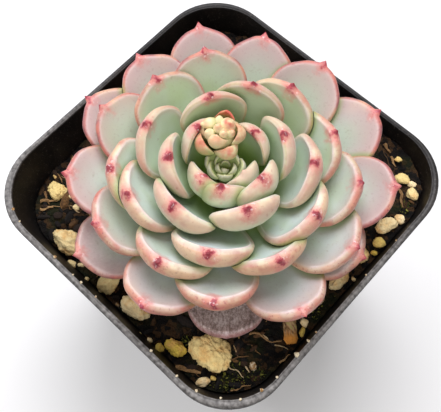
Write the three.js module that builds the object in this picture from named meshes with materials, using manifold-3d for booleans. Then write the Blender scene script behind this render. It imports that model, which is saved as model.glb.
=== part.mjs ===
// A potted echeveria: a square nursery pot, its soil and one rosette of thick leaves on a short stem.
// Millimetres, +Z up. The origin is the middle of the pot's underside.
// Turns are degrees about +Z, from +X towards +Y. Heights over the rim start at the pot's top edge.

import * as THREE from 'three';
import { mergeVertices } from 'three/addons/utils/BufferGeometryUtils.js';
import Module from 'manifold-3d';

const wasm = await Module();
wasm.setup();

// Pot: half sides are measured from the middle to the flat of a side.
const potHeight = 65;
const rimHalf = 35;
const rimCorner = 12.7;
const mouthHalf = 33.7;
const floorHalf = 24.1;
const floorThickness = 1.2;
const wallThickness = 0.9;
const lipDepth = 3;
const lipEdge = 0.5;
const footEdge = 1.5;
const drainRadius = 3;
const drainPlace = 15;
const cornerSteps = 8;

// Soil
const soilDepth = 6.8;
const soilSlope = 3 / 56;
const soilDip = 2;
const soilDipReach = 24;
const soilWave = 0.25;
const soilRings = [1, 0.8, 0.5];

// Neighbours keep this gap.
const gap = 0.3;

// Stem: radius and height over the rim, from its root end up.
const stemX = 2.5;
const stemY = -0.8;
const stemSteps = 16;
const stemProfile = [
  [0, -16], [4.2, -16], [5, -12], [5.3, -6], [4.9, 0], [3.6, 4], [2.4, 7.5], [1.6, 9.6], [0, 10],
];

// Leaves: the tips lie on a dome, and the feet stand up the stem.
const domeTop = 20;
const domeReach = 10;
const rosetteReach = 33;
const outerDrop = 13;
const heartDrop = 3;
const lowestFoot = -1.5;
const highestFoot = 8;
const broadest = 15.4;
const mucroLength = 1.1;

// A leaf's turn and how far its tip stands out from the stem, from the oldest leaf to the youngest.
// The low leaves, which lie below the dome, also give the height of the tip over the rim.
const leafTips = [
  [312, 29.2, -1], [248, 32, 1.8], [14, 29.5, 1.2], [105, 30, 1], [182, 30, 0.6],
  [142.5, 35.6, 6.3], [119, 32.6], [94, 31], [68, 33], [39, 32.2], [339, 29.8], [282, 29.4], [222, 31],
  [191, 33], [167, 32.5],
  [194, 27.8], [9, 27.4], [247, 26.4], [143, 25.6], [307, 25.6], [34, 24.4], [171, 22.8],
  [280, 22.3], [226, 21.4], [338, 20.7], [58, 20.4], [93, 18.9], [244, 19], [7, 18.7], [302, 18.3],
  [201, 16], [36, 15.3], [114, 14.6], [270, 13.6],
  [330, 11.5], [149, 11.3], [230, 10.1], [58, 10.2], [1, 7.6], [182, 7], [301, 6.4], [271, 5.9],
  [83, 6], [354, 4.2],
];
const lowLeaves = 5;

// A blade's shape, as shares of its length, its thickness and its outline.
const widestAt = 0.7;
const bladeMiddle = 0.6;
const footThinness = 0.42;
const bellyShare = 0.7;
const lipShare = 0.34;
const dishShare = 0.36;
const tipCrowding = 0.6;

// Heart: the youngest leaves, each turned on from the one before.
const heartLeaves = 8;
const goldenTurn = 137.5;
const heartRise = 12;
const heartRadius = 1.7;

// Flower buds. A bract has a turn, a reach from the bunch's middle, a height over the rim and a
// width. A bud has its place from the bunch's middle, its height over the rim and its radius.
const bunchX = -1.1;
const bunchY = 1.2;
const bunchRise = 17.4;
const bunchCore = [2.5, 2.3, 2.6];
const stalkLength = 11;
const bractDepth = 6;
const bracts = [
  [286, 2.3, 18.6, 4.4], [254, 4.1, 17.6, 5.2], [44, 3.2, 19, 4.6], [336, 3.2, 17.2, 5.2],
  [112, 3.6, 19.8, 4.4],
];
const buds = [
  [0.45, 1.6, 20.1, 1.2], [-0.45, 0.1, 20.4, 0.85], [-2.2, -0.5, 19.8, 1.35], [-0.8, -1.7, 19.6, 1.1],
  [1.3, -0.2, 20, 0.8], [-1.4, 1.3, 19.6, 1.15],
];

// Pumice lumps on the soil: place, length, width, height and turn. A chip of bark lies among them.
const lumps = [
  [-27.4, -23, 4.6, 4, 3.4, 20], [-16.7, -29.3, 7.6, 5, 4.6, 10], [-4.2, -29.6, 5.2, 4.4, 3.4, 70],
  [3.5, -29.4, 6.2, 4.8, 4, 20], [15.4, -29.9, 4.8, 3.4, 2.8, 20], [21.3, -26, 8.4, 7.2, 4.6, 10],
  [30.3, 1.6, 4.8, 3, 2.8, 80], [30.3, 8.4, 3.4, 3.2, 3, 0], [30.2, 16.6, 4.6, 3, 2.6, 70],
];
const lumpWaves = 6;
const lumpSink = 0.28;
const chip = { x: 29.6, y: -12.4, length: 5.2, radius: 1.3, turn: 315 };

const materials = {
  pot: new THREE.MeshStandardMaterial({ color: 0x1d1b1a, roughness: 0.55, metalness: 0 }),
  soil: new THREE.MeshStandardMaterial({ color: 0x2a1f16, roughness: 1, metalness: 0 }),
  stem: new THREE.MeshStandardMaterial({ color: 0x8a9a63, roughness: 0.7, metalness: 0 }),
  leaf: new THREE.MeshStandardMaterial({ color: 0xb3c6b2, roughness: 0.6, metalness: 0 }),
  heart: new THREE.MeshStandardMaterial({ color: 0x93a868, roughness: 0.6, metalness: 0 }),
  buds: new THREE.MeshStandardMaterial({ color: 0xe9c99a, roughness: 0.5, metalness: 0 }),
  pumice: new THREE.MeshStandardMaterial({ color: 0xd9c98b, roughness: 0.95, metalness: 0 }),
  bark: new THREE.MeshStandardMaterial({ color: 0x7a5a35, roughness: 0.9, metalness: 0 }),
};

const plant = new THREE.Group();

function addPiece(name, geometry, material) {
  const mesh = new THREE.Mesh(geometry, material.clone());
  mesh.name = name;
  plant.add(mesh);
}

function radians(degrees) {
  return THREE.MathUtils.degToRad(degrees);
}

function lerp(from, to, share) {
  return THREE.MathUtils.lerp(from, to, share);
}

// Solids

function welded(geometry) {
  geometry.deleteAttribute('normal');
  geometry.deleteAttribute('uv');
  return mergeVertices(geometry, 1e-4);
}

function toSolid(geometry) {
  const merged = welded(geometry.clone());
  return new wasm.Manifold(new wasm.Mesh({
    numProp: 3,
    vertProperties: new Float32Array(merged.attributes.position.array),
    triVerts: new Uint32Array(merged.index.array),
  }));
}

// The solid's outer surface. Where pieces grew together round a hollow, it is filled.
function toGeometry(solid) {
  const pieces = solid.decompose();
  const largest = pieces.reduce((best, piece) => (piece.volume() > best.volume() ? piece : best));
  const mesh = largest.getMesh();
  const geometry = new THREE.BufferGeometry();
  geometry.setAttribute('position', new THREE.BufferAttribute(mesh.vertProperties.slice(), 3));
  geometry.setIndex(new THREE.BufferAttribute(mesh.triVerts.slice(), 1));
  geometry.computeVertexNormals();
  return geometry;
}

// The same surface moved out by the gap.
function grown(geometry) {
  const larger = welded(geometry.clone());
  larger.computeVertexNormals();
  const { position, normal } = larger.attributes;
  const point = new THREE.Vector3();
  const outward = new THREE.Vector3();
  for (let i = 0; i < position.count; i += 1) {
    point.fromBufferAttribute(position, i);
    outward.fromBufferAttribute(normal, i);
    point.addScaledVector(outward, gap);
    position.setXYZ(i, point.x, point.y, point.z);
  }
  larger.computeBoundingBox();
  return larger;
}

// A geometry cut clear of its neighbours.
function cutClear(geometry, neighbours) {
  geometry.computeBoundingBox();
  const near = neighbours.filter((other) => other.boundingBox.intersectsBox(geometry.boundingBox));
  const cut = near.reduce((solid, other) => solid.subtract(toSolid(other)), toSolid(geometry));
  return toGeometry(cut);
}

// Seeded random numbers from 0 to 1
function draws(seed) {
  let state = seed;
  return () => {
    state = (state * 1664525 + 1013904223) % 4294967296;
    return state / 4294967296;
  };
}

// Pot

// One step round the rounded square, for a half side of 1. Each side takes one step to its corner's
// start, the steps of the corner's arc, and one to the middle of the next side.
function squareStep(step) {
  const quarter = cornerSteps + 2;
  const side = Math.floor(step / quarter);
  const within = step % quarter;
  const corner = rimCorner / rimHalf;
  const point = new THREE.Vector2(1, 0);
  if (within > 0) {
    const angle = (within - 1) / cornerSteps * Math.PI / 2;
    point.set(1 - corner + corner * Math.cos(angle), 1 - corner + corner * Math.sin(angle));
  }
  return point.rotateAround(new THREE.Vector2(0, 0), side * Math.PI / 2);
}

// A lathe turned round the rounded square, so a profile's radius is a half side.
function squareLathe(profile) {
  const steps = 4 * (cornerSteps + 2);
  const points = profile.map(([half, height]) => new THREE.Vector2(half, height));
  const geometry = new THREE.LatheGeometry(points, steps);
  const { position } = geometry.attributes;
  for (let i = 0; i < position.count; i += 1) {
    const point = points[i % points.length];
    const outline = squareStep(Math.floor(i / points.length) % steps);
    position.setXYZ(i, outline.x * point.x, outline.y * point.x, point.y);
  }
  return welded(geometry);
}

function innerHalf(height) {
  const share = (height - floorThickness) / (potHeight - floorThickness);
  return lerp(floorHalf, mouthHalf, share);
}

function outerHalf(height) {
  return innerHalf(height) + wallThickness;
}

function makePot() {
  const underLip = potHeight - lipDepth;
  let solid = toSolid(squareLathe([
    [0, 0],
    [outerHalf(0) - footEdge, 0],
    [outerHalf(footEdge), footEdge],
    [outerHalf(underLip), underLip],
    [rimHalf - lipEdge, underLip],
    [rimHalf, underLip + lipEdge],
    [rimHalf, potHeight - lipEdge],
    [rimHalf - lipEdge, potHeight],
    [mouthHalf + lipEdge, potHeight],
    [mouthHalf, potHeight - lipEdge],
    [innerHalf(floorThickness + footEdge), floorThickness + footEdge],
    [floorHalf - footEdge, floorThickness],
    [0, floorThickness],
  ]));
  for (const [x, y] of [[1, 1], [-1, 1], [-1, -1], [1, -1]]) {
    const hole = new THREE.CylinderGeometry(drainRadius, drainRadius, 4 * floorThickness, 16);
    hole.rotateX(Math.PI / 2);
    hole.translate(x * drainPlace, y * drainPlace, 0);
    solid = solid.subtract(toSolid(hole));
  }
  return toGeometry(solid);
}

// Soil

// The surface falls from the right corner to the left one and dips under the rosette, with low waves.
function soilHeight(x, y) {
  const waves = Math.sin(x * 0.31 + 1) * Math.cos(y * 0.27) + Math.sin(x * 0.17 - y * 0.23);
  const dip = soilDip * Math.exp(-(x * x + y * y) / soilDipReach ** 2);
  return potHeight - soilDepth + soilSlope * (x + y) - dip + soilWave * waves;
}

function makeSoil() {
  const bottom = floorThickness + gap;
  const nominal = potHeight - soilDepth;
  const nominalHalf = innerHalf(nominal) - gap;
  const geometry = squareLathe([
    [0, bottom],
    [floorHalf - footEdge - gap, bottom],
    [innerHalf(bottom + footEdge) - gap, bottom + footEdge],
    ...soilRings.map((share) => [nominalHalf * share, nominal]),
    [0, nominal],
  ]);
  const { position } = geometry.attributes;
  for (let i = 0; i < position.count; i += 1) {
    if (Math.abs(position.getZ(i) - nominal) < 0.01) {
      const x = position.getX(i);
      const y = position.getY(i);
      const height = soilHeight(x, y);
      const widen = (innerHalf(height) - gap) / nominalHalf;
      position.setXYZ(i, x * widen, y * widen, height);
    }
  }
  return geometry;
}

// Stem

function stemRadius(overRim) {
  const above = stemProfile.findIndex(([, height], i) => i > 1 && height >= overRim);
  const [lowRadius, low] = stemProfile[above - 1];
  const [highRadius, high] = stemProfile[above];
  return THREE.MathUtils.mapLinear(overRim, low, high, lowRadius, highRadius);
}

function makeStem() {
  const points = stemProfile.map(([radius, height]) => new THREE.Vector2(radius, height));
  const geometry = new THREE.LatheGeometry(points, stemSteps);
  geometry.rotateX(Math.PI / 2);
  geometry.translate(stemX, stemY, potHeight);
  return welded(geometry);
}

// Leaves

// The outline at a turn round it: how far along the leaf and how far to the side, as shares. Points
// crowd towards the tip, where the mucro stands between two of them.
function leafOutline(evenTurn) {
  const turn = evenTurn - tipCrowding * Math.sin(evenTurn);
  const ahead = Math.cos(turn);
  const beside = Math.abs(Math.sin(turn));
  const hand = Math.sign(Math.sin(turn));
  if (ahead >= 0) {
    const along = widestAt + (1 - widestAt) * (0.8 * ahead + 0.2 * (1 - beside));
    return [along, hand * beside ** 0.95];
  }
  const along = widestAt * (1 + ahead) ** 0.85;
  const broad = 0.22 + 0.78 * Math.sin(along / widestAt * Math.PI / 2) ** 1.15;
  return [along, hand * beside ** 0.55 * broad];
}

// How far a point of the blade lies above its middle surface, as a share of the thickness: a dished
// face inside a raised lip on top, and a full belly below.
function bladeLevel(share, onTop) {
  if (share === 1) {
    return 0;
  }
  if (onTop) {
    return lipShare * (1 - share ** 16) ** 0.6 - dishShare * (1 - share ** 2.5);
  }
  return -bellyShare * (1 - share ** 3) ** 0.5;
}

// A thick blade made from a sphere: its equator becomes the leaf's outline and its rows of points the
// rings inside it. The blade then bends up along an arc from its foot to its tip.
function leafGeometry(leaf) {
  const rows = leaf.rows.length - 1;
  const geometry = welded(new THREE.SphereGeometry(1, leaf.around, 2 * rows));
  geometry.rotateX(Math.PI / 2);
  const run = leaf.reach - leaf.footReach;
  const climb = leaf.rise - leaf.footRise;
  const bend = radians(leaf.bend);
  const radius = Math.hypot(run, climb) / (2 * Math.sin(bend / 2));
  const start = Math.atan2(climb, run) - bend / 2;
  const { position } = geometry.attributes;
  const point = new THREE.Vector3();
  for (let i = 0; i < position.count; i += 1) {
    point.fromBufferAttribute(position, i);
    const latitude = Math.acos(Math.min(1, Math.abs(point.z)));
    const share = leaf.rows[Math.round(latitude / (Math.PI / 2) * rows)];
    const turn = Math.atan2(point.y, point.x);
    const [outlineAlong, outlineSide] = leafOutline(turn);
    let along = lerp(bladeMiddle, outlineAlong, share);
    const side = outlineSide * share;
    const fullness = THREE.MathUtils.clamp(along / widestAt, 0, 1);
    const thick = leaf.thick * lerp(footThinness, 1, fullness);
    const level = thick * bladeLevel(share, point.z > 0) + leaf.cup * side ** 2 * lerp(0.35, 1, fullness);
    if (share === 1 && Math.abs(turn) < 0.01) {
      along += leaf.mucro / (radius * bend);
    }
    const angle = start + bend * along;
    const out = leaf.footReach + radius * (Math.sin(angle) - Math.sin(start)) - level * Math.sin(angle);
    const up = leaf.footRise - radius * (Math.cos(angle) - Math.cos(start)) + level * Math.cos(angle);
    position.setXYZ(i, out, side * leaf.width / 2, up);
  }
  geometry.rotateZ(radians(leaf.turn));
  geometry.translate(leaf.footX, leaf.footY, potHeight);
  return geometry;
}

function domeHeight(reach) {
  if (reach > domeReach) {
    return domeTop - outerDrop * ((reach - domeReach) / (rosetteReach - domeReach)) ** 1.35;
  }
  return domeTop - heartDrop * ((domeReach - reach) / 6) ** 1.5;
}

function leafAt(index) {
  const [turn, reach, lowRise] = leafTips[index];
  const outness = THREE.MathUtils.clamp((reach - 4) / (rosetteReach - 4), 0, 1);
  const footRise = lerp(lowestFoot, highestFoot, index / (leafTips.length - 1));
  const large = reach > 12;
  return {
    turn,
    reach,
    rise: lowRise ?? domeHeight(reach),
    footX: stemX,
    footY: stemY,
    footReach: stemRadius(footRise) + gap,
    footRise,
    bend: lerp(70, 40, outness),
    width: broadest - 2.7 * (Math.max(0, rosetteReach - reach) / 22) ** 3.8,
    thick: lerp(2, 5.9, Math.sqrt(outness)),
    cup: lerp(1.8, 0.3, outness),
    mucro: mucroLength * lerp(0.5, 1, outness),
    around: large ? 14 : 12,
    rows: large ? [0, 0.45, 0.78, 0.94, 1] : [0, 0.5, 0.9, 1],
  };
}

// Heart: young leaves grown together on a small dome.
function makeHeart() {
  const dome = new THREE.SphereGeometry(heartRadius, 8, 6);
  dome.translate(stemX, stemY, potHeight + heartRise);
  let solid = toSolid(dome);
  for (let k = 0; k < heartLeaves; k += 1) {
    const share = k / (heartLeaves - 1);
    const blade = leafGeometry({
      turn: goldenTurn * k + 20,
      reach: lerp(0.5, 2.7, share),
      rise: heartRise + lerp(1.2, 2, share),
      footX: stemX,
      footY: stemY,
      footReach: 0.1,
      footRise: heartRise - lerp(0.8, 1.4, share),
      bend: 50,
      width: lerp(1.6, 3.6, share),
      thick: 1.3,
      cup: 0.5,
      mucro: 0.2,
      around: 8,
      rows: [0, 0.6, 1],
    });
    solid = solid.add(toSolid(blade));
  }
  return toGeometry(solid);
}

// Flower buds: a short upright stalk beside the stem, a core, round buds on top and bracts round it.
function makeBuds() {
  const stalk = new THREE.CylinderGeometry(1.5, 1.1, stalkLength, 8);
  stalk.rotateX(Math.PI / 2);
  stalk.translate(bunchX, bunchY, potHeight + bunchRise - stalkLength / 2);
  const core = new THREE.SphereGeometry(1, 10, 6);
  core.scale(...bunchCore);
  core.translate(bunchX, bunchY, potHeight + bunchRise);
  let solid = toSolid(stalk).add(toSolid(core));
  for (const [x, y, overRim, radius] of buds) {
    const bud = new THREE.SphereGeometry(radius, 8, 6);
    bud.translate(bunchX + x, bunchY + y, potHeight + overRim - radius);
    solid = solid.add(toSolid(bud));
  }
  for (const [turn, reach, rise, width] of bracts) {
    solid = solid.add(toSolid(leafGeometry({
      turn,
      reach,
      rise,
      footX: bunchX,
      footY: bunchY,
      footReach: 0.4,
      footRise: rise - bractDepth,
      bend: 60,
      width,
      thick: 2,
      cup: 1,
      mucro: 0.3,
      around: 8,
      rows: [0, 0.6, 1],
    })));
  }
  return toGeometry(solid);
}

// Pumice and bark

// A ball with seeded swellings, sunk a little into the soil.
function makeLump([x, y, length, width, height, turn], seed) {
  const draw = draws(seed);
  const waves = [];
  for (let k = 0; k < lumpWaves; k += 1) {
    const way = new THREE.Vector3(draw() - 0.5, draw() - 0.5, draw() - 0.5).normalize();
    waves.push({ way, pitch: 2 + 3 * draw(), shift: 6 * draw() });
  }
  const geometry = welded(new THREE.IcosahedronGeometry(1, 1));
  const { position } = geometry.attributes;
  const point = new THREE.Vector3();
  for (let i = 0; i < position.count; i += 1) {
    point.fromBufferAttribute(position, i);
    const swelling = waves.reduce(
      (sum, { way, pitch, shift }) => sum + Math.sin(point.dot(way) * pitch + shift),
      0,
    );
    point.multiplyScalar(0.95 + 0.05 * swelling);
    position.setXYZ(i, point.x, point.y, point.z);
  }
  geometry.scale(length / 2, width / 2, height / 2);
  geometry.rotateZ(radians(turn));
  geometry.translate(x, y, soilHeight(x, y) + (0.5 - lumpSink) * height);
  return geometry;
}

function makeChip() {
  const geometry = new THREE.CylinderGeometry(0.85 * chip.radius, chip.radius, chip.length, 7, 2);
  geometry.rotateZ(Math.PI / 2);
  geometry.scale(1, 1, 0.8);
  geometry.rotateZ(radians(chip.turn));
  geometry.translate(chip.x, chip.y, soilHeight(chip.x, chip.y) + chip.radius / 2);
  return geometry;
}

// What grew first is cut clear of what presses on it: each leaf of the younger leaves above it, and
// the soil of all that stands or lies in it.

const stem = makeStem();
const grownStem = grown(stem);
const blades = leafTips.map((_, index) => leafGeometry(leafAt(index)));
const grownBlades = blades.map(grown);
const grownLow = grownBlades.slice(0, lowLeaves);
const bunch = cutClear(makeBuds(), [grownStem]);
const grownBunch = grown(bunch);
const heart = cutClear(makeHeart(), [grownBunch]);
const grownHeart = grown(heart);
const stones = lumps.map((lump, index) => cutClear(makeLump(lump, index + 1), grownLow));
const bark = cutClear(makeChip(), grownLow);
const onSoil = [...stones, bark].map(grown);

addPiece('pot', makePot(), materials.pot);
addPiece('soil', cutClear(makeSoil(), [grownStem, ...grownLow, ...onSoil]), materials.soil);
addPiece('stem', cutClear(stem, [grownHeart]), materials.stem);
addPiece('heart', heart, materials.heart);
addPiece('flower_buds', bunch, materials.buds);
blades.forEach((blade, index) => {
  const above = grownBlades.slice(index + 1);
  const number = String(index + 1).padStart(2, '0');
  const clear = cutClear(blade, [grownStem, grownHeart, grownBunch, ...above]);
  addPiece(`leaf_${number}`, clear, materials.leaf);
});
stones.forEach((stone, index) => addPiece(`pumice_${index + 1}`, stone, materials.pumice));
addPiece('bark_chip', bark, materials.bark);

export default plant;
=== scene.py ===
# A potted echeveria: square nursery pot, dark potting mix with pumice, one rosette of thick leaves
# round a bunch of closed flower buds. Lengths in the dictionaries are millimetres.
import functools
import math
import random
import bpy
import bmesh
from mathutils import Matrix, Vector, noise
from mathutils.bvhtree import BVHTree


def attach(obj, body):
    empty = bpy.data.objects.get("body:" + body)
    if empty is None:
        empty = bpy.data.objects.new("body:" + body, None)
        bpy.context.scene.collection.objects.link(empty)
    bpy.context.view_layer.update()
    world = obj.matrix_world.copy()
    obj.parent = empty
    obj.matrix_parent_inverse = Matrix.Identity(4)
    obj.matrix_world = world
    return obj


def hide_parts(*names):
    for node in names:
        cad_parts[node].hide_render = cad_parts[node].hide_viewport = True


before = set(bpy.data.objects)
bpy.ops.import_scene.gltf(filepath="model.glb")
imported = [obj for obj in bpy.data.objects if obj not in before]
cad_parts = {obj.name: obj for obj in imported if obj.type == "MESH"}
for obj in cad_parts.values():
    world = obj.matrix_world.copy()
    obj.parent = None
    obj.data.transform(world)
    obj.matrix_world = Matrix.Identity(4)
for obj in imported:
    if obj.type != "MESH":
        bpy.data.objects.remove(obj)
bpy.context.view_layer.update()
mm = 0.001
print("frame loaded")


def clamp(value, low=0.0, high=1.0):
    return max(low, min(high, value))


def lerp(start, end, share):
    return start + (end - start) * share


def smooth(start, end, value):
    share = clamp((value - start) / (end - start))
    return share * share * (3 - 2 * share)


# Colours are given as sRGB hex; shaders want them linear.
def colour(hexText):
    channels = [int(hexText[i:i + 2], 16) / 255 for i in (1, 3, 5)]
    return [c / 12.92 if c <= 0.04045 else ((c + 0.055) / 1.055) ** 2.4 for c in channels] + [1.0]


# Stops are (place, colour or grey value, and for some ramps how much of it shows)
def fillRamp(ramp, stops):
    while len(ramp.elements) < len(stops):
        ramp.elements.new(0.5)
    for element, (place, value, *shown) in zip(ramp.elements, stops):
        element.position = place
        rgb = colour(value)[:3] if isinstance(value, str) else (value, value, value)
        element.color = (*rgb, shown[0] if shown else 1.0)


def firstOutput(node):
    return next(socket for socket in node.outputs if socket.enabled)


# One node with its settings. Inputs come by name or number, or as a list from the first one on.
# Each is a value, a hex colour, an output of another node, or a node, for its first output in use.
def addNode(tree, kind, inputs=(), stops=None, **settings):
    node = tree.nodes.new("ShaderNode" + kind)
    for key, value in settings.items():
        setattr(node, key, value)
    if stops:
        fillRamp(node.color_ramp, stops)
    for key, value in inputs.items() if isinstance(inputs, dict) else enumerate(inputs):
        if isinstance(value, bpy.types.Node):
            value = firstOutput(value)
        if isinstance(value, bpy.types.NodeSocket):
            tree.links.new(value, node.inputs[key])
        else:
            node.inputs[key].default_value = colour(value) if isinstance(value, str) else value
    return node


# Settings that many nodes share
rgba = {"data_type": "RGBA"}
soft = {"interpolation_type": "SMOOTHSTEP"}
times = {"operation": "MULTIPLY"}
timesPlus = {"operation": "MULTIPLY_ADD"}


# Returns the material, addNode for its tree, and the object's own place in millimetres, which
# carries the patterns.
def newMaterial(name, shaderInputs):
    material = bpy.data.materials.new(name)
    material.use_nodes = True
    shader = material.node_tree.nodes["Principled BSDF"]
    for key, value in shaderInputs.items():
        shader.inputs[key].default_value = colour(value) if isinstance(value, str) else value
    add = functools.partial(addNode, material.node_tree)
    place = add("Mapping", {"Vector": add("TexCoord").outputs["Object"], "Scale": (1000, 1000, 1000)})
    return material, add, place


# The finished colour, and a relief of this depth in millimetres, go to the shader.
def finishMaterial(material, base, relief=None, strength=0.0, depth=0.0):
    tree = material.node_tree
    inputs = tree.nodes["Principled BSDF"].inputs
    tree.links.new(firstOutput(base), inputs["Base Color"])
    if relief:
        bump = addNode(tree, "Bump", {"Strength": strength, "Distance": depth * mm, "Height": relief})
        tree.links.new(firstOutput(bump), inputs["Normal"])
    return material


def selectOnly(*objects):
    if bpy.context.object and bpy.context.object.mode != "OBJECT":
        bpy.ops.object.mode_set(mode="OBJECT")
    bpy.ops.object.select_all(action="DESELECT")
    for item in objects:
        item.select_set(True)
    bpy.context.view_layer.objects.active = objects[0]


# A new primitive, alone in the selection, with its place applied
def addPrimitive(operator, **settings):
    bpy.ops.object.select_all(action="DESELECT")
    operator(**settings)
    bpy.ops.object.transform_apply(location=True, rotation=True, scale=True)
    return bpy.context.object


def copyPiece(master):
    copy = master.copy()
    copy.data = master.data.copy()
    bpy.context.collection.objects.link(copy)
    return copy


def removePieces(*pieces):
    for piece in pieces:
        bpy.data.objects.remove(piece)


def editAll():
    bpy.ops.object.mode_set(mode="EDIT")
    bpy.ops.mesh.select_all(action="SELECT")


# Runs one operator on the whole mesh of the active piece.
def editWhole(operator, **settings):
    editAll()
    operator(**settings)
    bpy.ops.object.mode_set(mode="OBJECT")


# Extrudes a flat piece through the steps of a profile: half side or radius, and height.
def extrudeProfile(piece, profile, x=0.0, y=0.0):
    selectOnly(piece)
    editAll()
    for (size, height), (nextSize, nextHeight) in zip(profile, profile[1:]):
        bpy.ops.mesh.extrude_region_move(
            TRANSFORM_OT_translate={"value": (0, 0, (nextHeight - height) * mm)})
        factor = nextSize / size
        bpy.ops.transform.resize(value=(factor, factor, 1),
                                 center_override=(x * mm, y * mm, nextHeight * mm))
    bpy.ops.mesh.select_all(action="SELECT")
    bpy.ops.mesh.normals_make_consistent(inside=False)
    bpy.ops.object.mode_set(mode="OBJECT")


def runBoolean(piece, operation, others):
    group = bpy.data.collections.new("others")
    bpy.context.scene.collection.children.link(group)
    for other in others:
        group.objects.link(other)
    modifier = piece.modifiers.new("boolean", "BOOLEAN")
    modifier.operation = operation
    modifier.operand_type = "COLLECTION"
    modifier.collection = group
    modifier.solver = "MANIFOLD"
    selectOnly(piece)
    bpy.ops.object.modifier_apply(modifier=modifier.name)
    bpy.data.collections.remove(group)


def treeOf(mesh):
    return BVHTree.FromPolygons([v.co for v in mesh.vertices], [p.vertices for p in mesh.polygons])


def setFloats(mesh, values):
    for name, value in values.items():
        attribute = mesh.attributes.get(name) or mesh.attributes.new(name, "FLOAT", "POINT")
        attribute.data.foreach_set("value", [value] * len(mesh.vertices))


# Edges sharper than the angle stay crisp.
def finishPiece(piece, name, material, nodes=(), crispAngle=None):
    if crispAngle:
        selectOnly(piece)
        bpy.ops.object.shade_smooth_by_angle(angle=math.radians(crispAngle))
    piece.name = name
    piece.data.name = name
    piece.data.materials.clear()
    piece.data.materials.append(material)
    if nodes:
        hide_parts(*nodes)
    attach(piece, "root")
    return piece


def joinPieces(parts, name, material):
    selectOnly(*parts)
    bpy.ops.object.join()
    return finishPiece(parts[0], name, material)


# Square nursery pot
pot = {
    "height": 65.0, "rim": 35.0, "corner": 12.7, "mouth": 33.7, "floor": 24.1, "floorThickness": 1.2,
    "wall": 0.9, "footEdge": 1.5, "cornerSteps": 14, "drain": 3.0, "drainPlace": 15.0,
    # inwards and up, to the middle of the foot's and the floor's rounded edge
    "footRound": (0.45, 0.4), "floorRound": (0.55, 0.4),
    "crease": [(-0.05, -0.3), (0.15, 0)],   # under the lip: outwards and up, from the plain wall
    # once round the rolled lip: inwards from the rim, and down from its top
    "lip": [(0.38, 3.0), (0.1, 2.86), (0, 2.55), (0, 0.75), (0.07, 0.4), (0.26, 0.13), (0.54, 0),
            (0.8, 0.03), (0.95, 0.16), (1.02, 0.2), (1.1, 0.12), (1.2, 0.15), (1.28, 0.4), (1.34, 0.8)],
}
rimHeight = pot["height"]


def innerHalf(height):
    return lerp(pot["floor"], pot["mouth"],
                (height - pot["floorThickness"]) / (pot["height"] - pot["floorThickness"]))


def makePot(material):
    p = pot
    lipFoot = rimHeight - p["lip"][0][1]
    floorTop = p["floorThickness"]
    foot = innerHalf(0) + p["wall"] - p["footEdge"]
    footIn, footUp = p["footRound"]
    floorIn, floorUp = p["floorRound"]
    # up the outer wall, over the lip and down the inner wall
    profile = [(foot, 0), (innerHalf(footUp) + p["wall"] - footIn, footUp)]
    profile += [(innerHalf(height) + p["wall"], height) for height in (p["footEdge"], 20, 40)]
    profile += [(innerHalf(lipFoot) + p["wall"] + outwards, lipFoot + up) for outwards, up in p["crease"]]
    profile += [(p["rim"] - inwards, rimHeight - down) for inwards, down in p["lip"]]
    profile += [(innerHalf(height), height) for height in (60, 40, 20, floorTop + p["footEdge"])]
    profile += [(innerHalf(floorTop + floorUp) - floorIn, floorTop + floorUp),
                (p["floor"] - p["footEdge"], floorTop)]
    piece = addPrimitive(bpy.ops.mesh.primitive_plane_add, size=2 * foot * mm)
    editWhole(bpy.ops.mesh.bevel, offset=p["corner"] * foot / p["rim"] * mm,
              segments=p["cornerSteps"], affect="VERTICES")
    extrudeProfile(piece, profile)
    out = p["drainPlace"] * mm
    holes = [addPrimitive(bpy.ops.mesh.primitive_cylinder_add, vertices=40, radius=p["drain"] * mm,
                          depth=6 * mm, location=(x * out, y * out, 0))
             for x, y in ((1, 1), (-1, 1), (-1, -1), (1, -1))]
    runBoolean(piece, "DIFFERENCE", holes)
    removePieces(*holes)
    return finishPiece(piece, "nursery_pot", material, ["pot"], 35)


# Thin thermoformed polystyrene, black with a brown cast: satin, scuffed pale along the rolled lip, whose
# front sides also carry a painted reflection, with dried water marks and dust on the inner wall.
def makePotPlastic():
    material, add, place = newMaterial("black thermoformed polystyrene", {
        "Roughness": 0.5, "IOR": 1.5, "Specular IOR Level": 0.34})
    # stains 9 mm across, scuffs of 0.8 mm, dust of 0.3 mm
    stains, scuffs, dust = (add("TexNoise", {"Vector": place, "Scale": 1 / size, "Detail": detail})
                            for size, detail in ((9, 4), (0.8, 3), (0.3, 2)))
    stainShare = add("MapRange", [stains, 0.42, 0.7, 0, 0.6])
    onLip = add("MapRange", [add("SeparateXYZ", [place]).outputs["Z"], 64.3, 64.95], **soft)
    # the front sides of the lip are painted paler, a painted reflection of the light, which the scuffs
    # break up
    frontFacing = add("VectorMath", [place, (0.5, -1.5, 0)], operation="DOT_PRODUCT")
    frontGlintShare = add("MapRange", [frontFacing, -35, 20, 0.06], **soft)
    glintedLip = add("Math", [onLip, frontGlintShare], **times)
    lipScuffAndGlintShare = add("Math", [glintedLip, add("MapRange", [scuffs, 0.3, 0.7, 0.15, 0.75])], **times)
    dustShare = add("MapRange", [dust, 0.62, 0.75, 0, 0.35])
    shown = "#0A0807"
    for share, tint in ((stainShare, "#261E18"), (lipScuffAndGlintShare, "#A09C97"), (dustShare, "#8C8278")):
        shown = add("Mix", {0: share, 6: shown, 7: tint}, **rgba)
    return finishMaterial(material, shown, scuffs, 0.3, 0.1)


# Potting mix
soil = {
    "depth": 6.8, "slope": 3 / 56, "dip": 2.0, "dipReach": 24.0, "wave": 0.25, "bottom": 1.5,
    "gap": 0.3, "steps": 180, "clods": 0.8, "grain": 0.36, "give": 0.08, "rayDepth": 9,
}
rayLength = 20 * mm     # how far a ray looks for a surface


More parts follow.
